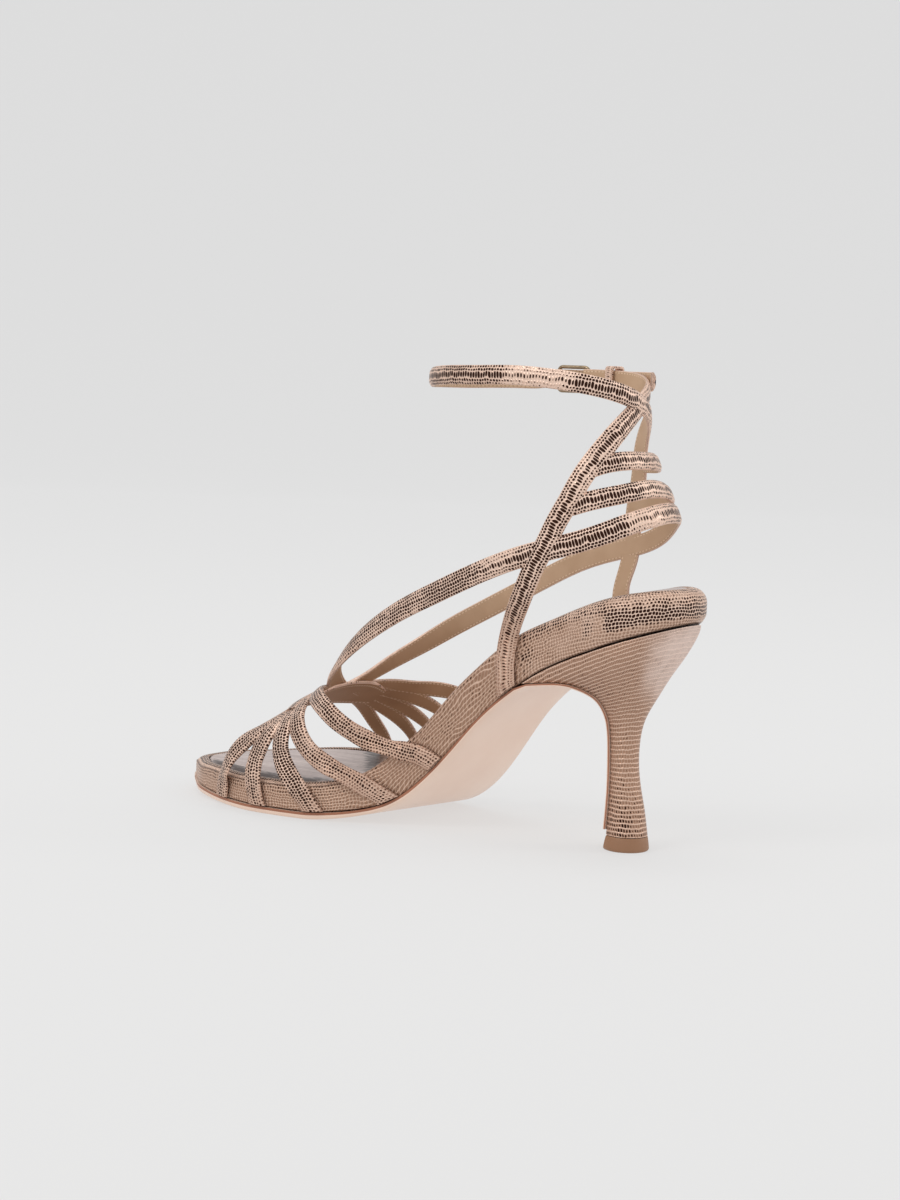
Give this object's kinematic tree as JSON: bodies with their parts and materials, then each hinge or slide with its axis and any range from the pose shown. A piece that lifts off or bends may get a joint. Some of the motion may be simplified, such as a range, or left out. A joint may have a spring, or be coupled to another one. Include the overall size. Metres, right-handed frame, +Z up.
{
  "type": "sandal",
  "caption": "strappy high-heeled sandal for the right foot, crossed straps joined at the instep, buckled ankle strap, padded footbed and flared heel",
  "frame": {"origin": "middle of the bounding box in plan, on the floor plane that the toplift and the forefoot stand on", "axes": "-X toe, +X heel, +Y outer side of the foot, -Y inner side, +Z up"},
  "size_m": [0.219, 0.0846, 0.1736],
  "materials": {
    "sole_leather": "smooth nude leather with a waxed orange-brown edge",
    "lizard_leather": "metallic rose-bronze leather with a lizard embossing",
    "sock_leather": "soft metallic lilac-grey sock leather",
    "heel_leather": "metallic rose-bronze leather with rows of small embossed scales",
    "toplift_plastic": "moulded tan-brown plastic",
    "strap_leather": "metallic rose-bronze lizard leather outside, matte tan leather lining inside",
    "buckle_metal": "dark gilt metal"
  },
  "bodies": {
    "root": {"outsole": "sole_leather", "footbed": "lizard_leather", "insole": "sock_leather", "heel": "heel_leather", "toplift": "toplift_plastic", "upper": "strap_leather", "keeper": "strap_leather", "buckle_frame": "buckle_metal", "buckle_prong": "buckle_metal"}
  },
  "joints": []
}
